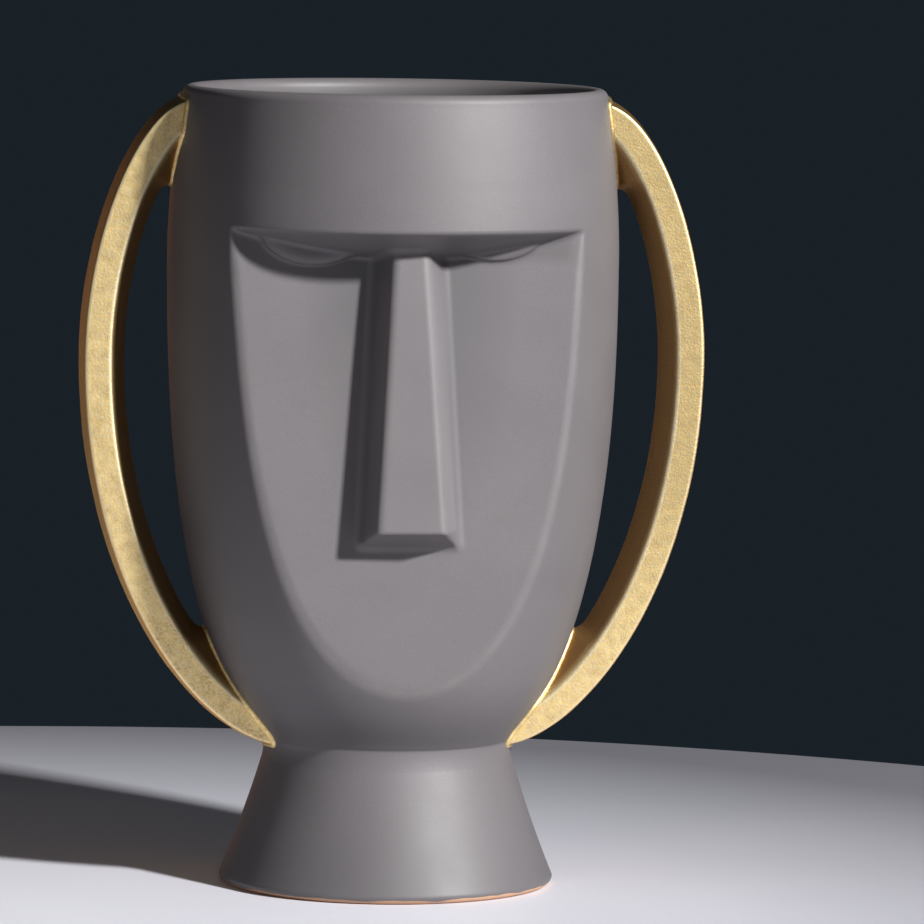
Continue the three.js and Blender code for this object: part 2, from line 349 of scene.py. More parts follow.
def nose(p, soft):
    x, y, z = p
    front_half, root_half, stand, shift = nose_section(down_nose(z))
    front_y = panel_y(z) - stand
    back = (y - front_y) / stand
    spread = root_half - front_half
    flank = (np.abs(x - shift) - front_half - spread * back) * stand / np.hypot(stand, spread)
    tip_z = BROW_LEVEL - NOSE_LENGTH - NOSE_UNDERCUT * back
    under = (tip_z - z) * stand / np.hypot(stand, NOSE_UNDERCUT)
    arris = np.where(x > shift, NOSE_ARRIS[1], NOSE_ARRIS[-1])
    wedge = rounded_both(front_y - y, flank, soft * arris)
    wedge = rounded_both(wedge, under, soft * NOSE_TIP_ARRIS)
    return np.maximum(wedge, y - panel_y(z) - HEAD_WALL)


def eyelid(p, side, soft):
    """A closed lid: a swelling on the panel, flattened in front."""
    x, y, z = p
    stand = y - panel_y(z)
    across = x - LID_CENTRE[side]
    away = np.stack([across, stand, z - BROW_LEVEL - LID_TILT[side] * across])
    half = np.array([LID_HALF_WIDTH[side], LID_BULGE, LID_DROP[side]]).reshape(3, 1, 1)
    reach = np.linalg.norm(away / half, axis=0)
    swelling = reach * (reach - 1) / np.maximum(np.linalg.norm(away / half**2, axis=0), 1e-9)
    front = LID_FRONT[side] + LID_FRONT_SLOPE * (z - BROW_LEVEL + LID_BULGE)
    return rounded_both(swelling, -stand - front, soft * LID_ARRIS[side])


def head_outside(p, soft):
    x, y, z = p
    clay = cast_body(p, head_line, 0, soft)
    clay = rounded_either(clay, nose(p, soft), soft * NOSE_ROOT_FILLET)
    for side in (-1, 1):
        lid = eyelid(p, side, soft)
        fold = np.hypot(lid, above_brow(p)) - FOLD_ROLL
        clay = rounded_either(clay, lid, soft * LID_FILLET[side])
        clay = rounded_either(clay, fold, soft * LID_FILLET[-1])
    turn = np.arctan2(x, -y)
    uneven = sum(np.sin(waves * turn + z / rise + start) for waves, rise, start in CAST_WAVES)
    return clay - soft * CAST_WAVE * uneven


def head_inside(p, soft):
    return cast_body(p, head_inner_line, HEAD_WALL, soft)


# Painted shade and painted highlight on the glaze, at each point of the head


def faded_in(value, fade):
    start, reach = fade
    return np.clip((value - start) / reach, 0, 1)


def highlight_on_nose(p):
    """Painted highlight, paler on the nose's front, and more on its right flank."""
    x, y, z = p
    front_half, root_half, _, shift = nose_section(down_nose(z))
    across = x - shift
    stands = faded_in(panel_y(z) - y, HIGHLIGHT_STAND_FADE)
    level = (z > BROW_LEVEL - NOSE_LENGTH) * faded_in(-above_brow(p), HIGHLIGHT_BROW_FADE)
    within = level * (across > -front_half) * (across < root_half + HIGHLIGHT_PAST_ROOT)
    flank = faded_in(across - front_half, HIGHLIGHT_FLANK_FADE)
    return within * stands * (NOSE_FRONT_HIGHLIGHT + (1 - NOSE_FRONT_HIGHLIGHT) * flank)


def shade_under_brow(p):
    """Painted shade under the brow on the right, most of all beside the nose."""
    x, y, z = p
    high = faded_in(z - BROW_LEVEL, BROW_SHADE_LEVEL_FADE)
    right = faded_in(x, BROW_SHADE_RIGHT_FADE)
    recessed = faded_in(radius_at(head_line, z) - np.hypot(x, y), BROW_SHADE_RECESS_FADE)
    under = faded_in(-above_brow(p), BROW_SHADE_UNDER_FADE)
    corner = np.exp(-(((x - BROW_SHADE_CORNER) / BROW_SHADE_CORNER_REACH) ** 2))
    return high * right * recessed * under * (BROW_SHADE_PLAIN + (1 - BROW_SHADE_PLAIN) * corner)


# The head's grid: rays leave the axis outwards and down, and meet each underside once
RAY_DROP = math.tan(math.radians(30))
RAY_REACH = (18.0, 90.0)
RAY_HALVINGS = 34

# Rough distances from the axis at which the columns of the face are laid, and their numbers
NOSE_FRONT_REACH = 60.0
NOSE_ROOT_REACH = 49.0
CHEEK_REACH = 66.0
CHEEK_TURN_LEAST = math.radians(27)
CHEEK_TURN_SHARPNESS = 30.0
NOSE_FRONT_COLUMNS = 9
NOSE_FLANK_COLUMNS = 12
CHEEK_COLUMNS = 52
EVEN_SHARE = 0.3

# Columns from the cheek's edge to the middle of the back, in degrees
BACK_ARC = 132.0
BACK_SPACING = 4.2
BACK_SPOTS = [(0, 7, 0.5), (0, 14, 1.1), (0, 30, 2.4)]

# Where the rays start on the axis, in millimetres: closer at each (place, reach, spacing)
ROW_STARTS = (72.0, 262.0)
ROW_SPACING = 1.05
ROW_SPOTS = [
    (248.7, 2.6, 0.28),
    (241, 8, 0.55),
    (232, 8, 0.4),
    (153.5, 1.9, 0.22),
    (147, 8, 0.5),
    (140, 2, 0.35),
]
INNER_TOP = 236.0
INNER_LOW_START = 80.0
INNER_SPACING = 4.5
INNER_SPOTS = [(245, 7, 1.2), (238, 5, 1.5)]
COVE_DROP = 3.5
COVE_PULLS = (2.0, 4.0, 8.0)
FLOOR_MIDDLE_RADIUS = 18.0


def along_rays(radius, turn, start):
    return np.stack([radius * np.sin(turn), -radius * np.cos(turn), start - radius * RAY_DROP])


def cast_rays(field, turn, start):
    near, far = (np.full(turn.shape, reach) for reach in RAY_REACH)
    for _ in range(RAY_HALVINGS):
        middle = (near + far) / 2
        inside = field(along_rays(middle, turn, start), 1.0) < 0
        near = np.where(inside, middle, near)
        far = np.where(inside, far, middle)
    return along_rays(far, turn, start)


def crowded(low, high, plain, spots):
    """Stations from low to high, plain apart, and closer at each spot (place, reach, spacing)."""
    fine = np.linspace(low, high, num=6000)
    density = np.full(fine.shape, 1 / plain)
    for place, reach, spacing in spots:
        closer = np.exp(-(((fine - place) / reach) ** 4))
        density = np.maximum(density, closer / spacing)
    count = np.concatenate([[0], np.cumsum((density[1:] + density[:-1]) / 2 * np.diff(fine))])
    return np.interp(np.linspace(0, count[-1], int(round(count[-1])) + 1), count, fine)


def eased(steps, both_ends):
    """Shares from 0 to 1, closer together at the end, or at both ends."""
    t = np.linspace(0, 1, steps + 1)
    curve = 0.5 - 0.5 * np.cos(math.pi * t) if both_ends else np.sin(math.pi / 2 * t)
    return EVEN_SHARE * t + (1 - EVEN_SHARE) * curve


def column_turns(start):
    """For each row, the turn of every column from the middle of the face to the middle of the back."""
    start = start[:, None]
    front_z = start - NOSE_FRONT_REACH * RAY_DROP
    root_z = start - NOSE_ROOT_REACH * RAY_DROP
    front_half, _, stand, _ = nose_section(np.minimum(down_nose(front_z), 1))
    _, root_half, _, _ = nose_section(np.minimum(down_nose(root_z), 1))
    arris = np.arctan2(front_half, -panel_y(front_z) + stand)
    root = np.arctan2(root_half, -panel_y(root_z))
    edge_z = np.minimum(start - CHEEK_REACH * RAY_DROP, BROW_LEVEL)
    for _ in range(12):
        edge_z = np.minimum(start - radius_at(head_line, edge_z) * RAY_DROP, BROW_LEVEL)
    edge = np.arccos(np.clip(-panel_y(edge_z) / radius_at(head_line, edge_z), 0, 1))
    least = CHEEK_TURN_LEAST * CHEEK_TURN_SHARPNESS
    edge = np.logaddexp(edge * CHEEK_TURN_SHARPNESS, least) / CHEEK_TURN_SHARPNESS
    stops = [0 * arris, arris, root, edge, 0 * arris + math.pi]
    back = crowded(0, BACK_ARC, BACK_SPACING, BACK_SPOTS) / BACK_ARC
    front = eased(NOSE_FRONT_COLUMNS, both_ends=False)
    flank = eased(NOSE_FLANK_COLUMNS, both_ends=True)
    cheek = eased(CHEEK_COLUMNS, both_ends=True)
    shares = [front, flank, cheek, back]
    parts = [low + (high - low) * share[:-1] for low, high, share in zip(stops, stops[1:], shares)]
    return np.concatenate(parts + [stops[-1]], axis=1)


def whole_turn(half):
    """Columns on the right half, and their mirror on the left, as one closed ring."""
    return np.concatenate([half, -half[:, -2:0:-1]], axis=1)


def on_line(line, levels):
    return np.stack([radius_at(line, levels), levels], 1)


def build_head(material):
    starts = crowded(*ROW_STARTS, ROW_SPACING, ROW_SPOTS)
    turn = whole_turn(column_turns(starts))
    first, last = turn[:1], turn[-1:]
    outside = cast_rays(head_outside, turn, starts[:, None])

    jaw_levels = np.linspace(HEAD_LEVEL + SLIP_REACH, outside[2, 0, -1], num=4)[:-1]
    underside = [[NECK_RADIUS - SLIP_DEPTH, HEAD_LEVEL]]
    jaw = np.concatenate([underside, on_line(head_line, jaw_levels)])
    rim_levels = np.linspace(outside[2, -1, -1], LIP_LEVEL, num=18)[1:-1]
    lip = arc(RIM_RADIUS - LIP_ROUND, LIP_LEVEL, LIP_ROUND, start=0, end=180, steps=22)
    inner_levels = np.linspace(LIP_LEVEL, INNER_TOP, num=6)[1:-1]

    inner_start = INNER_TOP + radius_at(head_inner_line, INNER_TOP) * RAY_DROP
    inner_starts = crowded(INNER_LOW_START, inner_start, INNER_SPACING, INNER_SPOTS)[::-1]
    inner_turn = np.repeat(last, len(inner_starts), axis=0)
    inside = cast_rays(head_inside, inner_turn, inner_starts[:, None])

    floor_level = HEAD_LEVEL + FLOOR_THICKNESS
    wall_foot = inside[2, -1, -1]
    wall_radius = radius_at(head_inner_line, wall_foot)
    cove = bezier(
        (wall_radius, wall_foot),
        (wall_radius - COVE_PULLS[0], wall_foot - COVE_DROP),
        (wall_radius - COVE_PULLS[1], floor_level),
        (wall_radius - COVE_PULLS[2], floor_level),
        steps=8,
    )
    floor = np.concatenate([cove[1:], [[FLOOR_MIDDLE_RADIUS, floor_level]]])

    blocks = [
        turned_rows(jaw, first),
        outside,
        turned_rows(on_line(head_line, rim_levels), last),
        turned_rows(lip, last),
        turned_rows(on_line(head_inner_line, inner_levels), last),
        inside,
        turned_rows(floor, last),
    ]
    rings = np.concatenate(blocks, axis=1)
    head = closed_rings("head", rings, HEAD_LEVEL, floor_level, material)

    wear = np.zeros(rings.shape[1:])
    sharp = head_outside(outside, 0.0)
    wear[len(jaw) : len(jaw) + len(starts)] = np.clip(-sharp / ARRIS_WEAR_DEPTH, -1, 1)
    mark_points(head.data, "arris", np.append(wear, [0, 0]))
    points = rings.reshape(3, -1)
    # Painted shade: the deeper a point lies under the turned outline, the darker; the nose gets a
    # painted highlight
    recess = radius_at(head_line, points[2]) - np.hypot(points[0], points[1])
    recess_light = np.interp(recess, [RECESS_SHADE_FROM, RECESS_SHADE_TO], [0, 1]) - highlight_on_nose(points)
    past_lip = sum(block[0].size for block in blocks[:4])
    # Inside the lip the glaze gets the full painted shade
    recess_light[past_lip:] = 1
    mark_points(head.data, "recess_light", np.append(recess_light, [0, 1]))
    # Painted shade under the brow
    mark_points(head.data, "brow_shade", np.append(shade_under_brow(points), [0, 0]))
    return head


# Nodes


def connect(tree, value, socket):
    """Links a socket, or sets a value, to which a colour's alpha is added."""
    if isinstance(value, bpy.types.NodeSocket):
        tree.links.new(value, socket)
    elif value is not None:
        socket.default_value = (*value, 1) if socket.type == "RGBA" else value


def set_inputs(tree, node, **values):
    for label, value in values.items():
        connect(tree, value, node.inputs[label.replace("_", " ")])
    return node


def add_node(tree, kind, settings=None, **values):
    node = tree.nodes.new(kind)
    for key, setting in (settings or {}).items():
        setattr(node, key, setting)
    return set_inputs(tree, node, **values)


def feed(tree, node, *values):
    """Fills the node's first inputs, in their order."""
    for socket, value in zip(node.inputs, values):
        connect(tree, value, socket)
    return node.outputs[0]


def maths(tree, operation, *values):
    return feed(tree, add_node(tree, "ShaderNodeMath", {"operation": operation}), *values)


def scaled_vector(tree, vector, scale):
    node = add_node(tree, "ShaderNodeVectorMath", {"operation": "SCALE"}, Scale=scale)
    return feed(tree, node, vector)


def ranged(tree, value, low, high, to_low=0, to_high=1):
    """The value brought from the range low to high into to_low to to_high, and kept there."""
    node = add_node(
        tree,
        "ShaderNodeMapRange",
        Value=value,
        From_Min=low,
        From_Max=high,
        To_Min=to_low,
        To_Max=to_high,
    )
    return node.outputs[0]


def ranged_mm(tree, length, low, high, to_low=0, to_high=1):
    return ranged(tree, length, low * MM, high * MM, to_low, to_high)


NUMBER = "NodeSocketFloat"
WHOLE = "NodeSocketInt"
GEOMETRY = "NodeSocketGeometry"
OBJECT = "NodeSocketObject"


class Group:
    """A node group under construction."""

    def __init__(self, name, kind, inputs, outputs):
        self.tree = bpy.data.node_groups.new(name, kind)
        self.sockets = {}
        for label, socket, value in inputs:
            made = self.tree.interface.new_socket(label, in_out="INPUT", socket_type=socket)
            if value is not None:
                made.default_value = value
            self.sockets[label] = made.identifier
        for label, socket in outputs:
            self.tree.interface.new_socket(label, in_out="OUTPUT", socket_type=socket)
        self.entry = self.tree.nodes.new("NodeGroupInput")
        self.exit = self.tree.nodes.new("NodeGroupOutput")

    def given(self, label):
        return self.entry.outputs[label]

    def node(self, kind, settings=None, **values):
        return add_node(self.tree, kind, settings, **values)

    def out(self, kind, settings=None, **values):
        """The first output of a new node."""
        return self.node(kind, settings, **values).outputs[0]

    def maths(self, operation, *values):
        return maths(self.tree, operation, *values)

    def link(self, value, socket):
        connect(self.tree, value, socket)

    def marked(self, geometry, label, value):
        """The geometry with a value stored at its points under the label."""
        kind = "GeometryNodeStoreNamedAttribute"
        return self.out(kind, Geometry=geometry, Name=label, Value=value)

    def mark(self, label, kind="FLOAT"):
        """What is stored at each point under the label."""
        return self.out("GeometryNodeInputNamedAttribute", {"data_type": kind}, Name=label)

    def moved(self, geometry, offset):
        return self.out("GeometryNodeSetPosition", Geometry=geometry, Offset=offset)

    def noise(self, size, settings=None, **values):
        """Noise of which the waves have the given size."""
        scale = self.maths("DIVIDE", 1.0, size)
        return self.out("ShaderNodeTexNoise", settings, Scale=scale, **values)


# Geometry node groups

# Edges of the strap that bend this much, in radians, are its arrises
ARRIS_ANGLE_RANGE = (0.01, 0.05)


def uneven_surface(group, geometry):
    """The points moved out and in along their normals by slow noise."""
    size, seed = group.given("Uneven Size"), group.given("Seed")
    noise = group.noise(size, {"noise_dimensions": "4D"}, W=seed, Detail=2.0)
    centred = group.maths("SUBTRACT", noise, 0.5)
    swing = group.maths("MULTIPLY", centred, group.given("Unevenness"))
    normal = group.out("GeometryNodeInputNormal")
    return group.moved(geometry, scaled_vector(group.tree, normal, swing))


def close_group(group, geometry, material):
    smooth = group.out("GeometryNodeSetShadeSmooth", Geometry=geometry)
    real = group.out("GeometryNodeRealizeInstances", Geometry=smooth)
    painted = group.out("GeometryNodeSetMaterial", Geometry=real, Material=material)
    group.link(painted, group.exit.inputs[0])


def strap_section(group, half, far, near, inner):
    """A closed hexagon, a ridge outside and inside and a drafted face in front and behind."""
    front = group.maths("MULTIPLY", group.given("Depth"), 0.5)
    back = group.maths("MULTIPLY", front, -1.0)
    corners = [(half, 0.0), (far, front), (near, front), (inner, 0.0), (near, back), (far, back)]
    hexagon = group.out("GeometryNodeCurvePrimitiveCircle", Resolution=len(corners))
    pick = group.node("GeometryNodeIndexSwitch", {"data_type": "VECTOR"})
    # The switch starts with two places
    for _ in corners[2:]:
        pick.index_switch_items.new()
    points = [group.out("ShaderNodeCombineXYZ", X=deep, Y=outward) for outward, deep in corners]
    place = feed(group.tree, pick, group.out("GeometryNodeInputIndex"), *points)
    section = group.out("GeometryNodeSetPosition", Geometry=hexagon, Position=place)
    soft = group.out(
        "GeometryNodeFilletCurve",
        {"mode": "POLY"},
        Curve=section,
        Count=5,
        Radius=group.given("Arris"),
        Limit_Radius=True,
    )
    even = group.out("GeometryNodeResampleCurve", {"mode": "COUNT"}, Curve=soft, Count=120)
    place = group.out("GeometryNodeInputPosition")
    split = group.node("ShaderNodeSeparateXYZ", Vector=place)
    return group.marked(even, "outward", split.outputs["Y"])


def strap_group(material):
    """A strap with drafted sides, swept along a line and cut where it enters the pot."""
    group = Group(
        "strap",
        "GeometryNodeTree",
        [
            ("Line", GEOMETRY, None),
            ("Pot", OBJECT, None),
            ("Width", NUMBER, STRAP_WIDTH * MM),
            ("Depth", NUMBER, STRAP_DEPTH * MM),
            ("Face", NUMBER, STRAP_FACE * MM),
            ("Outer Draft", NUMBER, STRAP_DRAFT * MM),
            ("Arris", NUMBER, STRAP_ARRIS * MM),
            ("Unevenness", NUMBER, STRAP_UNEVEN * MM),
            ("Uneven Size", NUMBER, STRAP_UNEVEN_SIZE * MM),
            ("Seed", NUMBER, 1.0),
        ],
        [("Strap", GEOMETRY)],
    )
    half = group.maths("MULTIPLY", group.given("Width"), 0.5)
    far = group.maths("SUBTRACT", half, group.given("Outer Draft"))
    near = group.maths("SUBTRACT", far, group.given("Face"))
    inner = group.maths("MULTIPLY", half, -1.0)
    section = strap_section(group, half, far, near, inner)
    line = group.out("GeometryNodeMeshToCurve", Mesh=group.given("Line"))
    level = group.out("GeometryNodeSetCurveNormal", {"mode": "FREE"}, Curve=line, Normal=(0, 1, 0))
    sweep = group.out("GeometryNodeCurveToMesh", Curve=level, Profile_Curve=section, Fill_Caps=True)
    angle = group.out("GeometryNodeInputMeshEdgeAngle")
    strap = group.marked(sweep, "arris", ranged(group.tree, angle, *ARRIS_ANGLE_RANGE))
    ridge_share = ranged(group.tree, group.mark("outward"), near, inner)
    flare = scaled_vector(group.tree, group.mark("flare", "FLOAT_VECTOR"), ridge_share)
    strap = group.marked(group.moved(strap, flare), "inside", ridge_share)
    strap = uneven_surface(group, strap)
    pot = group.node("GeometryNodeObjectInfo", Object=group.given("Pot"))
    cut = group.out(
        "GeometryNodeMeshBoolean",
        {"operation": "DIFFERENCE", "solver": "EXACT"},
        Mesh_1=strap,
        Mesh_2=pot.outputs["Geometry"],
    )
    close_group(group, cut, material)
    return group


def bead_group(material):
    """An uneven bead of slip along a closed line, as thick as its points say."""
    group = Group(
        "slip bead",
        "GeometryNodeTree",
        [
            ("Line", GEOMETRY, None),
            ("Radius", NUMBER, BEAD_RADIUS * MM),
            ("Unevenness", NUMBER, BEAD_UNEVEN * MM),
            ("Uneven Size", NUMBER, BEAD_UNEVEN_SIZE * MM),
            ("Seed", NUMBER, 1.0),
        ],
        [("Bead", GEOMETRY)],
    )
    line = group.out("GeometryNodeMeshToCurve", Mesh=group.given("Line"))
    radius = group.given("Radius")
    ring = group.out("GeometryNodeCurvePrimitiveCircle", Resolution=14, Radius=radius)
    shaped = group.out("GeometryNodeSetCurveRadius", Curve=line, Radius=group.mark("thickness"))
    sweep = group.out("GeometryNodeCurveToMesh", Curve=shaped, Profile_Curve=ring)
    close_group(group, uneven_surface(group, sweep), material)
    return group


# The turned group's circle, in millimetres: the outline's radius is measured from it
RAIL_RADIUS = 10.0
WELD_DISTANCE = 0.002


def turned_group(material):
    """An outline turned about the axis, with its poles closed."""
    group = Group(
        "turned",
        "GeometryNodeTree",
        [
            ("Outline", GEOMETRY, None),
            ("Turns", WHOLE, 160),
            ("Rail Radius", NUMBER, RAIL_RADIUS * MM),
        ],
        [("Piece", GEOMETRY)],
    )
    line = group.out("GeometryNodeMeshToCurve", Mesh=group.given("Outline"))
    rail = group.out(
        "GeometryNodeCurvePrimitiveCircle",
        Resolution=group.given("Turns"),
        Radius=group.given("Rail Radius"),
    )
    sweep = group.out("GeometryNodeCurveToMesh", Curve=rail, Profile_Curve=line)
    gap = WELD_DISTANCE * MM
    weld = group.out("GeometryNodeMergeByDistance", Geometry=sweep, Distance=gap)
    close_group(group, weld, material)
    return group


def run_group(group, name, points, closed=False, marks=None, **values):
    """What the group makes of a line of points and their named marks, as a plain mesh object."""
    count = len(points)
    edges = [[i, i + 1] for i in range(count - 1)] + ([[count - 1, 0]] if closed else [])
    mesh = bpy.data.meshes.new("line")
    mesh.from_pydata((np.asarray(points) * MM).tolist(), edges, [])
    for label, mark in (marks or {}).items():
        mark_points(mesh, label, mark)
    carrier = add_object("line", mesh)
    modifier = carrier.modifiers.new("nodes", "NODES")
    modifier.node_group = group.tree
    for label, value in values.items():
        modifier[group.sockets[label.replace("_", " ")]] = value
    evaluated = carrier.evaluated_get(bpy.context.evaluated_depsgraph_get())
    made = bpy.data.meshes.new_from_object(evaluated)
    made.name = name
    bpy.data.objects.remove(carrier)
    return add_object(name, made)


# Foot and slip ring


def upright(outline):
    """A (radius, height) outline as the turned group's line: across from the rail, and down."""
    outline = outline[::-1]
    return np.stack([outline[:, 0] - RAIL_RADIUS, -outline[:, 1], 0 * outline[:, 0]], 1)


def foot_outline():
    """From the axis under the ceiling, down the inside, over the standing ring and up to the neck."""
    inner = offset_line(foot_line, -FOOT_WALL)
    ceiling = FOOT_HEIGHT - FOOT_WALL
    bend = ceiling - CAST_FILLET
    bend_radius = radius_at(inner, bend)
    bevel = FOOT_INNER_BEVEL
    slip_level = FOOT_HEIGHT - SLIP_REACH
    ring_radius = FOOT_RADIUS - FOOT_EDGE_ROUND
    return np.concatenate(
        [
            [[0, ceiling]],
            arc(bend_radius - CAST_FILLET, bend, CAST_FILLET, start=90, end=0, steps=8),
            inner[(inner[:, 1] < bend) & (inner[:, 1] > bevel)][::-1],
            [[inner[0, 0] + bevel / 4, bevel / 4], [inner[0, 0] + bevel, 0]],
            [[ring_radius - FOOT_FLAT, 0]],
            arc(ring_radius, FOOT_EDGE_ROUND, FOOT_EDGE_ROUND, start=-90, end=0, steps=10),
            foot_line[foot_line[:, 1] < slip_level][1:],
            [[radius_at(foot_line, slip_level), slip_level]],
            [[NECK_RADIUS - SLIP_DEPTH, FOOT_HEIGHT], [0, FOOT_HEIGHT]],
        ]
    )


def slip_outline():
    top = HEAD_LEVEL + SLIP_REACH + SLIP_LAP_ABOVE
    bottom = FOOT_HEIGHT - SLIP_REACH - SLIP_LAP_BELOW
    levels = (bottom, bottom + SLIP_PULL, top - SLIP_PULL, top)
    places = zip((foot_line, foot_line, head_line, head_line), levels, SLIP_SWELL)
    skin = bezier(*[(radius_at(line, z) + swell, z) for line, z, swell in places], steps=20)
    high_back = [SLIP_BACK_RADIUS[0], top - SLIP_BACK_STEP]
    low_back = [SLIP_BACK_RADIUS[1], bottom + SLIP_BACK_STEP]
    return np.concatenate([skin, [high_back, low_back, skin[0]]])


# Handles and their beads of slip


def handle_line(steps):
    widest = (STRAP_MIDDLE, STRAP_WIDEST_LEVEL)
    lower_pull = (STRAP_MIDDLE, STRAP_LOWER_PULL)
    upper_pull = (STRAP_MIDDLE, STRAP_UPPER_PULL)
    lower = bezier(STRAP_JAW_END, STRAP_JAW_PULL, lower_pull, widest, steps)
    upper = bezier(widest, upper_pull, STRAP_RIM_PULL, STRAP_RIM_END, steps)
    line = np.concatenate([lower, upper[1:]])
    return np.stack([line[:, 0], 0 * line[:, 0], line[:, 1]], 1)


def strap_edges():
    """How far out the strap's ridges and the two arrises of its front lie."""
    half = STRAP_WIDTH / 2
    return half, half - STRAP_DRAFT, half - STRAP_DRAFT - STRAP_FACE, -half


def outward_of(line):
    along = direction(line)
    return np.stack([along[:, 2], 0 * along[:, 0], -along[:, 0]], 1)


def above_pot(points):
    clear = np.hypot(points[:, 0], points[:, 1]) - radius_at(pot_line, points[:, 2])
    return np.where(points[:, 2] > RIM_LEVEL, 1, clear)


def lengths_along(line):
    return np.append(0, np.cumsum(np.linalg.norm(np.diff(line, axis=0), axis=1)))


def flare_of(line):
    """How far the strap's inner ridge turns in towards the pot, at each point of its line."""
    ridge = line - outward_of(line) * STRAP_WIDTH / 2
    place = lengths_along(ridge)
    clear = np.flatnonzero(above_pot(ridge) > 0)
    lower = place[clear[0]] - place + FLARE_START["lower"]
    upper = place - place[clear[-1]] + FLARE_START["upper"]
    return np.minimum(FLARE * np.exp(np.maximum(lower, upper) / FLARE_FALL), FLARE_LIMIT)


def softened_section(count):
    """Evenly spaced (outward, deep) points round the strap's section."""
    half, far, near, inner = strap_edges()
    back = STRAP_DEPTH / 2
    corners = [(half, 0), (far, back), (near, back), (inner, 0), (near, -back), (far, -back)]
    closed = np.array(corners + corners[:1])
    length = lengths_along(closed)
    place = np.linspace(0, length[-1], count + 1)[:-1]
    section = np.stack([np.interp(place, length, closed[:, i]) for i in (0, 1)], 1)
    return (section + np.roll(section, 1, 0) + np.roll(section, -1, 0)) / 3


def joint_loops(side):
    """Where the strap's skin meets the pot, at the rim and at the jaw, and how thick the bead is."""
    _, far, near, inner = strap_edges()
    section = softened_section(count=96)
    line = handle_line(steps=400)
    out = outward_of(line)
    flare = flare_of(line)
    middle = len(line) // 2
    runs = {"upper": range(middle, len(line) - 1), "lower": range(middle, 0, -1)}
    loops = {"upper": [], "lower": []}
    for outward, deep in section:
        ridge_share = np.clip((near - outward) / (near - inner), 0, 1)
        skin = line + out * (outward - flare * ridge_share)[:, None] + np.array([0, deep, 0])
        clear = above_pot(skin)
        for name, run in runs.items():
            for i in run:
                after = i + run.step
                if clear[after] <= 0:
                    share = clear[i] / (clear[i] - clear[after])
                    loops[name].append(skin[i] + (skin[after] - skin[i]) * share)
                    break
    thick = np.interp(section[:, 0], [inner, near, far], BEAD_SHARES)
    return {name: (np.array(loop) * np.array([side, 1, 1]), thick) for name, loop in loops.items()}


def pot_plug():
    """The outside of the pot drawn in a little, to end the straps inside its wall."""
    inner = offset_line(pot_line[pot_line[:, 1] < LIP_LEVEL], -STRAP_SUNK)
    inner = np.concatenate([inner, [[inner[-1, 0], RIM_LEVEL + PLUG_RISE]]])
    rings = turned_rows(inner, full_circle(columns=96))
    return closed_rings("plug", rings, low=inner[0, 1], high=inner[-1, 1])


def build_handles(material):
    strap = strap_group(material)
    bead = bead_group(material)
    plug = pot_plug()
    right_line = handle_line(steps=110)
    right_flare = -outward_of(right_line) * flare_of(right_line)[:, None] * MM
    for side_name, side in (("left", -1), ("right", 1)):
        mirror = np.array([side, 1, 1])
        line, flare = right_line * mirror, right_flare * mirror
        if side > 0:
            line, flare = line[::-1], flare[::-1]
        seed = 3.0 + side
        handle = run_group(
            strap, f"{side_name}_strap", line, marks={"flare": flare}, Pot=plug, Seed=seed
        )
        finish_piece(handle, f"{side_name}_handle")
        for place, (loop, thick) in joint_loops(side).items():
            joint = f"{side_name}_{place}"
            marks = {"thickness": thick}
            piece = run_group(bead, f"{joint}_bead", loop, True, marks, Seed=seed + BEAD_SEED_STEP)
            finish_piece(piece, f"{joint}_lute")
    bpy.data.objects.remove(plug)


# Shader groups

PATCH_RANGE = (0.35, 0.65)


def object_place(tree):
    return add_node(tree, "ShaderNodeTexCoord").outputs["Object"]


def attribute(tree, label):
    return add_node(tree, "ShaderNodeAttribute", {"attribute_name": label}).outputs["Fac"]


def grain_group():
    """Fine grain and slow clouds, each from 0 to 1."""
    group = Group(
        "fired grain",
        "ShaderNodeTree",
        [("Grain Size", NUMBER, 0.4 * MM), ("Cloud Size", NUMBER, 22 * MM)],
        [("Grain", NUMBER), ("Clouds", NUMBER)],
    )
    place = object_place(group.tree)
    grain = group.noise(group.given("Grain Size"), Vector=place, Detail=3.0, Roughness=0.65)
    clouds = group.noise(group.given("Cloud Size"), Vector=place, Detail=4.0, Roughness=0.55)
    group.link(grain, group.exit.inputs["Grain"])
    group.link(clouds, group.exit.inputs["Clouds"])
    return group.tree


def arris_group():
    """Where a surface's arrises are marked, broken up by noise: thin glaze on the grey, a painted
    highlight on the gold.
    """
    group = Group(
        "arris wear and highlight",
        "ShaderNodeTree",
        [("Breakup Size", NUMBER, 6 * MM), ("Breakup", NUMBER, 0.6)],
        [("Mask", NUMBER)],
    )
    place = object_place(group.tree)
    noise = group.noise(group.given("Breakup Size"), Vector=place, Detail=3.0)
    least = group.maths("SUBTRACT", 1.0, group.given("Breakup"))
    patchy = ranged(group.tree, noise, *PATCH_RANGE, least)
    mask = group.maths("MULTIPLY", attribute(group.tree, "arris"), patchy)
    group.link(group.out("ShaderNodeClamp", Value=mask), group.exit.inputs[0])
    return group.tree


# Materials


def new_material(name):
    material = bpy.data.materials.new(name)
    material.use_nodes = True
    tree = material.node_tree
    tree.nodes.clear()
    shader = add_node(tree, "ShaderNodeBsdfPrincipled")
    add_node(tree, "ShaderNodeOutputMaterial", Surface=shader.outputs[0])
    return material, tree, shader


def place_group(tree, group, **values):
    return add_node(tree, "ShaderNodeGroup", {"node_tree": group}, **values).outputs


def mixed(tree, factor, first, second):
    node = add_node(tree, "ShaderNodeMix", {"data_type": "RGBA"})
    for socket, value in ((0, factor), (6, first), (7, second)):
        connect(tree, value, node.inputs[socket])
    return node.outputs[2]


def layered(tree, base, layers):
    """The base colour under layers of (mask, colour), the last on top."""
    for mask, colour in layers:
        base = mixed(tree, mask, base, colour)
    return base


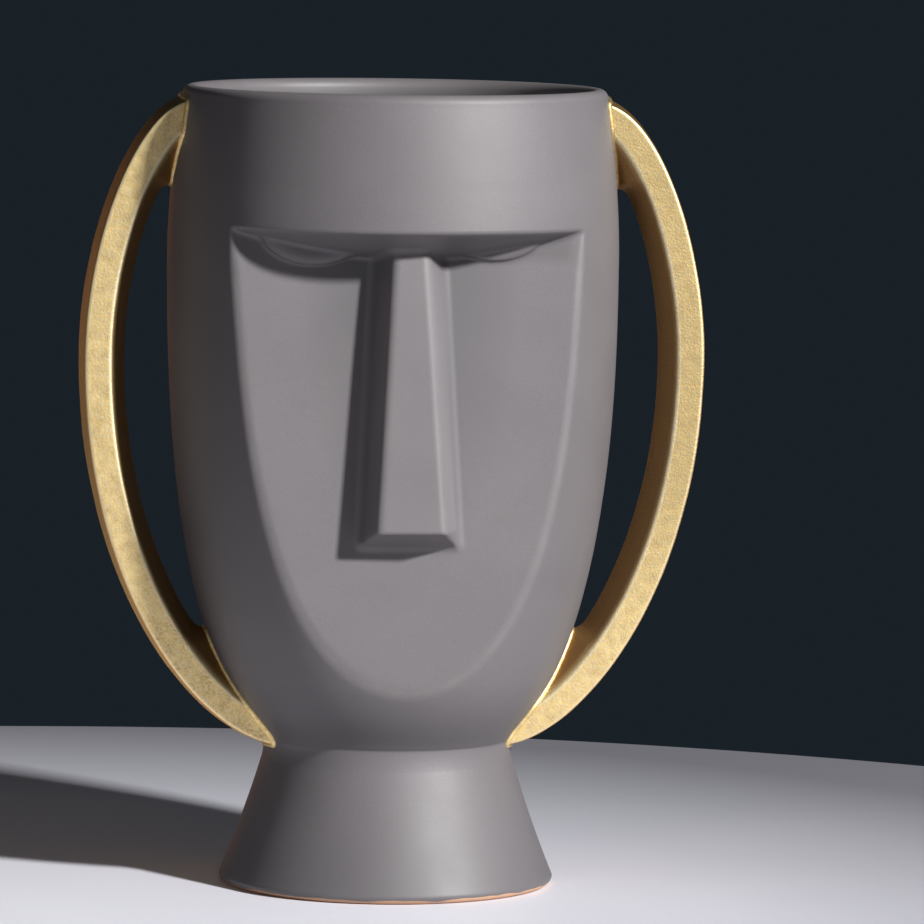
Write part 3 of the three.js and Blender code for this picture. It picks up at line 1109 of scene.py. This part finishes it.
def bumped(tree, height, distance, strength, normal=None):
    node = add_node(
        tree, "ShaderNodeBump", Height=height, Distance=distance, Strength=strength, Normal=normal
    )
    return node.outputs[0]


def seen_directly(tree):
    """1 for what the camera sees, also in a reflection, and 0 for all other rays."""
    path = add_node(tree, "ShaderNodeLightPath").outputs
    return maths(tree, "MAXIMUM", path["Is Camera Ray"], path["Is Glossy Ray"])


# Grey glaze: painted shade and highlight by depth, painted shade under the brow, and arris wear are
# what the head's points say
GREY = (0.196, 0.179, 0.188)
GREY_DEEP = (0.177, 0.162, 0.170)
GREY_SPECK = (0.26, 0.24, 0.25)
GREY_NOSE_HIGHLIGHT = (0.30, 0.28, 0.29)
GREY_PAINTED_SHADE = (0.05, 0.046, 0.049)
GREY_THIN = (0.33, 0.285, 0.27)
GREY_SHADED = (0.150, 0.140, 0.147)
BARE_CLAY = (0.95, 0.56, 0.34)

# Each range is from, to and, where they aren't 0 and 1, the shares there
CLOUD_RANGE = (0.3, 0.7)
GLAZE_SPECK_RANGE = (0.35, 0.65, 0, 0.36)
NOSE_HIGHLIGHT_RANGE = (-1, 0, 0.6, 0)
GLAZE_WORN_RANGE = (0, 1, 0, 0.35)
GLAZE_ROUGHNESS_RANGE = (0.3, 0.7, 0.53, 0.61)

# The same by height, in millimetres
LOW_SHADE_RANGE = (6, 34, 0.5, 0)
CREASE_SHADE_START_RANGE = (45.4, 46.2, 0, 0.6)
CREASE_SHADE_END_RANGE = (48, 68, 1, 0)
BARE_EDGE_RANGE = (-0.15, 0.15, 1, 0)
BARE_EDGE_WANDER = 2.4
BARE_EDGE_WAVES = 60


def grey_glaze(grain, arris):
    material, tree, shader = new_material("grey_glaze")
    fired = place_group(tree, grain, Grain_Size=0.45 * MM, Cloud_Size=26 * MM)
    arris_marks = place_group(tree, arris, Breakup_Size=7 * MM, Breakup=0.7)
    recess_light = attribute(tree, "recess_light")
    place = object_place(tree)
    height = add_node(tree, "ShaderNodeSeparateXYZ", Vector=place).outputs["Z"]
    waves = add_node(tree, "ShaderNodeTexNoise", Vector=place, Scale=BARE_EDGE_WAVES).outputs[0]
    edge = maths(tree, "MULTIPLY_ADD", waves, -BARE_EDGE_WANDER * MM, height)
    # Painted shade in the crease over the neck, fading out up the jaw
    over_neck = ranged_mm(tree, height, *CREASE_SHADE_START_RANGE)
    crease = maths(tree, "MULTIPLY", over_neck, ranged_mm(tree, height, *CREASE_SHADE_END_RANGE))
    clouded = mixed(tree, ranged(tree, fired["Clouds"], *CLOUD_RANGE), GREY_DEEP, GREY)
    layers = [
        (ranged(tree, fired["Grain"], *GLAZE_SPECK_RANGE), GREY_SPECK),
        # Painted shade, darker the deeper a point lies and inside the pot
        (ranged(tree, recess_light, 0, 1), GREY_SHADED),
        # Painted highlight on the nose's front and right flank
        (ranged(tree, recess_light, *NOSE_HIGHLIGHT_RANGE), GREY_NOSE_HIGHLIGHT),
        (ranged(tree, arris_marks["Mask"], *GLAZE_WORN_RANGE), GREY_THIN),
        # Painted shade, darker towards the bottom of the foot
        (ranged_mm(tree, height, *LOW_SHADE_RANGE), GREY_SHADED),
        (ranged_mm(tree, edge, *BARE_EDGE_RANGE), BARE_CLAY),
        (crease, GREY_PAINTED_SHADE),
        # Painted shade under the brow on the right
        (ranged(tree, attribute(tree, "brow_shade"), 0, 1), GREY_PAINTED_SHADE),
    ]
    relief = bumped(tree, fired["Grain"], distance=0.05 * MM, strength=0.35)
    relief = bumped(tree, fired["Clouds"], distance=0.3 * MM, strength=0.15, normal=relief)
    base = layered(tree, clouded, layers)
    roughness = ranged(tree, fired["Clouds"], *GLAZE_ROUGHNESS_RANGE)
    set_inputs(tree, shader, Base_Color=base, Roughness=roughness, Normal=relief)
    shader.inputs["Specular IOR Level"].default_value = 0.82
    shader.inputs["IOR"].default_value = 1.55
    return material


# Gold lustre, with painted shade on the right handle and on the inner facets, a painted warm
# reflection on the outer facets that turns to painted shade near their tops, and painted highlights on
# the arrises
GOLD = (1.0, 0.76, 0.33)
GOLD_DEEP = (0.70, 0.49, 0.19)
GOLD_INNER_SHADE = (0.47, 0.28, 0.11)
GOLD_BRIGHT = (1.0, 0.87, 0.58)
GOLD_RIGHT_SHADE = (0.48, 0.35, 0.155)
GOLD_SIDE_REFLECTION = (0.95, 0.57, 0.21)
GOLD_SIDE_TOP_SHADE = (0.42, 0.26, 0.095)
GOLD_CLOUD_RANGE = (0.3, 0.65)
GOLD_SPECK_RANGE = (0.42, 0.6, 0, 0.6)
GOLD_ARRIS_HIGHLIGHT_RANGE = (0, 1, 0, 0.8)
INNER_SHADE_RANGE = (0.03, 0.2)
GOLD_ROUGHNESS_RANGE = (0.3, 0.7, 0.66, 0.46)

# The same by place, in millimetres
RIGHT_SHADE_RANGE = (-20, 60, 0, 0.5)
RIGHT_SHADE_LEVEL_RANGE = (75, 130)
SIDE_TOP_SHADE_RANGE = (190, 235)
SHOULDER_SOFT = 0.4


def gold_lustre(grain, arris):
    material, tree, shader = new_material("gold_lustre")
    fired = place_group(tree, grain, Grain_Size=0.8 * MM, Cloud_Size=3.5 * MM)
    arris_marks = place_group(tree, arris, Breakup_Size=5 * MM, Breakup=0.35)
    place = object_place(tree)
    split = add_node(tree, "ShaderNodeSeparateXYZ", Vector=place).outputs
    # Painted shade on the right handle, fading in upwards from 75 mm
    to_right = ranged_mm(tree, split["X"], *RIGHT_SHADE_RANGE)
    right_shade = maths(tree, "MULTIPLY", to_right, ranged_mm(tree, split["Z"], *RIGHT_SHADE_LEVEL_RANGE))
    _, shoulder, _, _ = strap_edges()
    # Painted warm reflection on the outer facets, turning to painted shade near their tops
    outer_reflection = ranged_mm(tree, attribute(tree, "outward"), shoulder - SHOULDER_SOFT, shoulder)
    high = ranged_mm(tree, split["Z"], *SIDE_TOP_SHADE_RANGE)
    clouded = mixed(tree, ranged(tree, fired["Clouds"], *GOLD_CLOUD_RANGE), GOLD_DEEP, GOLD)
    layers = [
        (ranged(tree, fired["Grain"], *GOLD_SPECK_RANGE), GOLD_BRIGHT),
        (right_shade, GOLD_RIGHT_SHADE),
        # Painted highlight on the arrises
        (ranged(tree, arris_marks["Mask"], *GOLD_ARRIS_HIGHLIGHT_RANGE), GOLD_BRIGHT),
        (outer_reflection, mixed(tree, high, GOLD_SIDE_REFLECTION, GOLD_SIDE_TOP_SHADE)),
        # Painted shade on the inner facets, which face the pot
        (ranged(tree, attribute(tree, "inside"), *INNER_SHADE_RANGE), GOLD_INNER_SHADE),
    ]
    relief = bumped(tree, fired["Grain"], distance=0.2 * MM, strength=0.55)
    base = layered(tree, clouded, layers)
    roughness = ranged(tree, fired["Grain"], *GOLD_ROUGHNESS_RANGE)
    set_inputs(tree, shader, Base_Color=base, Roughness=roughness, Normal=relief)
    shader.inputs["Metallic"].default_value = 1.0
    return material


# Table, with a painted pool of light round a spot near its middle and painted shade far from it, in
# metres
TABLE_TONES = ((0.97, 0.97, 1.07), (1.03, 1.03, 1.13))
TABLE_LIGHT_POOL = (1.34, 1.34, 1.45)
TABLE_FAR_SHADE = (0.35, 0.35, 0.39)
TABLE_UNSEEN = (0.38, 0.38, 0.41)
TABLE_LIGHT_SPOT = (-0.2, -0.1, 0)
TABLE_LIGHT_POOL_RANGE = (0.1, 0.3, 1, 0)
TABLE_FAR_SHADE_RANGE = (0.3, 0.5)
TABLE_WAVES = 7

# Its place and size, in millimetres
TABLE_CENTRE = (-105.0, -160.0)
TABLE_RADIUS = 540.0
TABLE_THICKNESS = 30.0
TABLE_EDGE_ROUND = 8.0
TABLE_GAP = 0.1


def floor_material():
    material, tree, shader = new_material("pale_table")
    place = object_place(tree)
    waves = add_node(tree, "ShaderNodeTexNoise", Vector=place, Scale=TABLE_WAVES).outputs[0]
    distance = add_node(tree, "ShaderNodeVectorMath", {"operation": "DISTANCE"})
    feed(tree, distance, place, TABLE_LIGHT_SPOT)
    away = distance.outputs["Value"]
    # Painted pool of light near the spot and painted shade far from it, as the camera sees them
    near = ranged(tree, away, *TABLE_LIGHT_POOL_RANGE)
    far = ranged(tree, away, *TABLE_FAR_SHADE_RANGE)
    tone = mixed(tree, ranged(tree, waves, *CLOUD_RANGE), *TABLE_TONES)
    shown = layered(tree, tone, [(near, TABLE_LIGHT_POOL), (far, TABLE_FAR_SHADE)])
    base = mixed(tree, seen_directly(tree), TABLE_UNSEEN, shown)
    set_inputs(tree, shader, Base_Color=base)
    shader.inputs["Roughness"].default_value = 0.42
    return material


def build_floor(material):
    edge = TABLE_EDGE_ROUND
    straight = TABLE_RADIUS - edge
    upper = arc(straight, -edge, edge, start=90, end=0, steps=8)
    lower = arc(straight, edge - TABLE_THICKNESS, edge, start=0, end=-90, steps=8)
    rings = turned_rows(np.concatenate([upper, lower])[::-1], full_circle(columns=240))
    rows, columns = rings.shape[1:]
    points = rings.reshape(3, -1).T + np.array([*TABLE_CENTRE, -TABLE_GAP])
    faces = ring_faces(rows, columns)
    faces.append(list(range((rows - 1) * columns, rows * columns)))
    faces.append(list(reversed(range(columns))))
    table = new_piece("table_top", points, faces, material)
    for polygon in table.data.polygons[-2:]:
        polygon.use_smooth = False


# Light and camera, in metres, and the sensor in millimetres
BACKDROP = (0.0100, 0.0148, 0.0200)
SOFT_LIGHT = (0.0215, 0.0215, 0.0235)
LIGHT_AIM = 0.13
WARM = (1, 0.44, 0.2)
CAMERA_DISTANCE = 2.25
CAMERA_HEIGHT = 0.3422
FOCAL_PIXELS = 7205.67
PHOTO_PIXELS = 924
SENSOR_WIDTH = 36

# Degrees round the pot, panned, tilted down and rolled
CAMERA_ANGLES = (5.2, 0.5697, 5.3233, 0.8051)


def set_axes(thing, axes, place):
    """Turns an object to three axes of length one and puts it in its place."""
    rows = [[*row, at] for row, at in zip(np.stack(axes, 1), place)]
    thing.matrix_world = Matrix(rows + [[0, 0, 0, 1]])


def area_light(name, turn, rise, distance, size, power, colour=(1, 1, 1)):
    """A softbox that looks at the pot's middle. Turn 0 is in front, and positive to the right."""
    lamp = bpy.data.lights.new(name, "AREA")
    lamp.shape = "RECTANGLE"
    lamp.size, lamp.size_y = size
    lamp.energy = power
    lamp.color = colour
    turn, rise = math.radians(turn), math.radians(rise)
    level = math.cos(rise)
    away = np.array([math.sin(turn) * level, -math.cos(turn) * level, math.sin(rise)])
    right = np.array([math.cos(turn), math.sin(turn), 0.0])
    place = away * distance + np.array([0, 0, LIGHT_AIM])
    set_axes(add_object(name, lamp), (right, np.cross(away, right), away), place)


def light_scene():
    area_light("key", turn=42.5, rise=27.6, distance=2.3, size=(0.15, 0.15), power=68)
    area_light("fill", turn=-30, rise=12, distance=2.3, size=(0.5, 0.6), power=2.8)
    area_light("warm", turn=-164, rise=3, distance=1.8, size=(0.3, 0.5), power=0.55, colour=WARM)
    area_light("rim", turn=165, rise=42, distance=2.6, size=(1.4, 1.0), power=0.9)
    world = bpy.data.worlds.new("studio")
    bpy.context.scene.world = world
    world.use_nodes = True
    tree = world.node_tree
    tree.nodes.clear()
    soft = add_node(tree, "ShaderNodeBackground", Color=SOFT_LIGHT).outputs[0]
    backdrop = add_node(tree, "ShaderNodeBackground", Color=BACKDROP).outputs[0]
    mix = add_node(tree, "ShaderNodeMixShader")
    lit = feed(tree, mix, seen_directly(tree), soft, backdrop)
    add_node(tree, "ShaderNodeOutputWorld", Surface=lit)


def place_camera():
    """In front and a little to the left, above the rim, and turned slightly on its own axis."""
    turn, pan, tilt, roll = np.radians(CAMERA_ANGLES)
    ahead = np.array([math.sin(turn + pan), math.cos(turn + pan), 0.0])
    right = np.array([math.cos(turn + pan), -math.sin(turn + pan), 0.0])
    up = np.array([0.0, 0.0, 1.0])
    forward = ahead * math.cos(tilt) - up * math.sin(tilt)
    level_top = up * math.cos(tilt) + ahead * math.sin(tilt)
    side = right * math.cos(roll) + level_top * math.sin(roll)
    top = level_top * math.cos(roll) - right * math.sin(roll)
    across, back = CAMERA_DISTANCE * math.sin(turn), CAMERA_DISTANCE * math.cos(turn)
    camera = add_object("camera", bpy.data.cameras.new("camera"))
    set_axes(camera, (side, top, -forward), (-across, -back, CAMERA_HEIGHT))
    camera.data.sensor_width = SENSOR_WIDTH
    camera.data.lens = FOCAL_PIXELS / PHOTO_PIXELS * SENSOR_WIDTH
    camera.data.clip_end = 50
    bpy.context.scene.camera = camera


# The scene

place_camera()
grain = grain_group()
arris = arris_group()
grey = grey_glaze(grain, arris)
gold = gold_lustre(grain, arris)

head = build_head(grey)
finish_piece(head, "head_shell")

turned = turned_group(grey)
foot = run_group(turned, "foot", upright(foot_outline()))
finish_piece(foot, "pedestal_foot")
neck = run_group(turned, "neck_slip", upright(slip_outline()))
finish_piece(neck, "neck_slip_ring")

build_handles(gold)
build_floor(floor_material())
light_scene()
bpy.context.scene.view_settings.view_transform = "Standard"
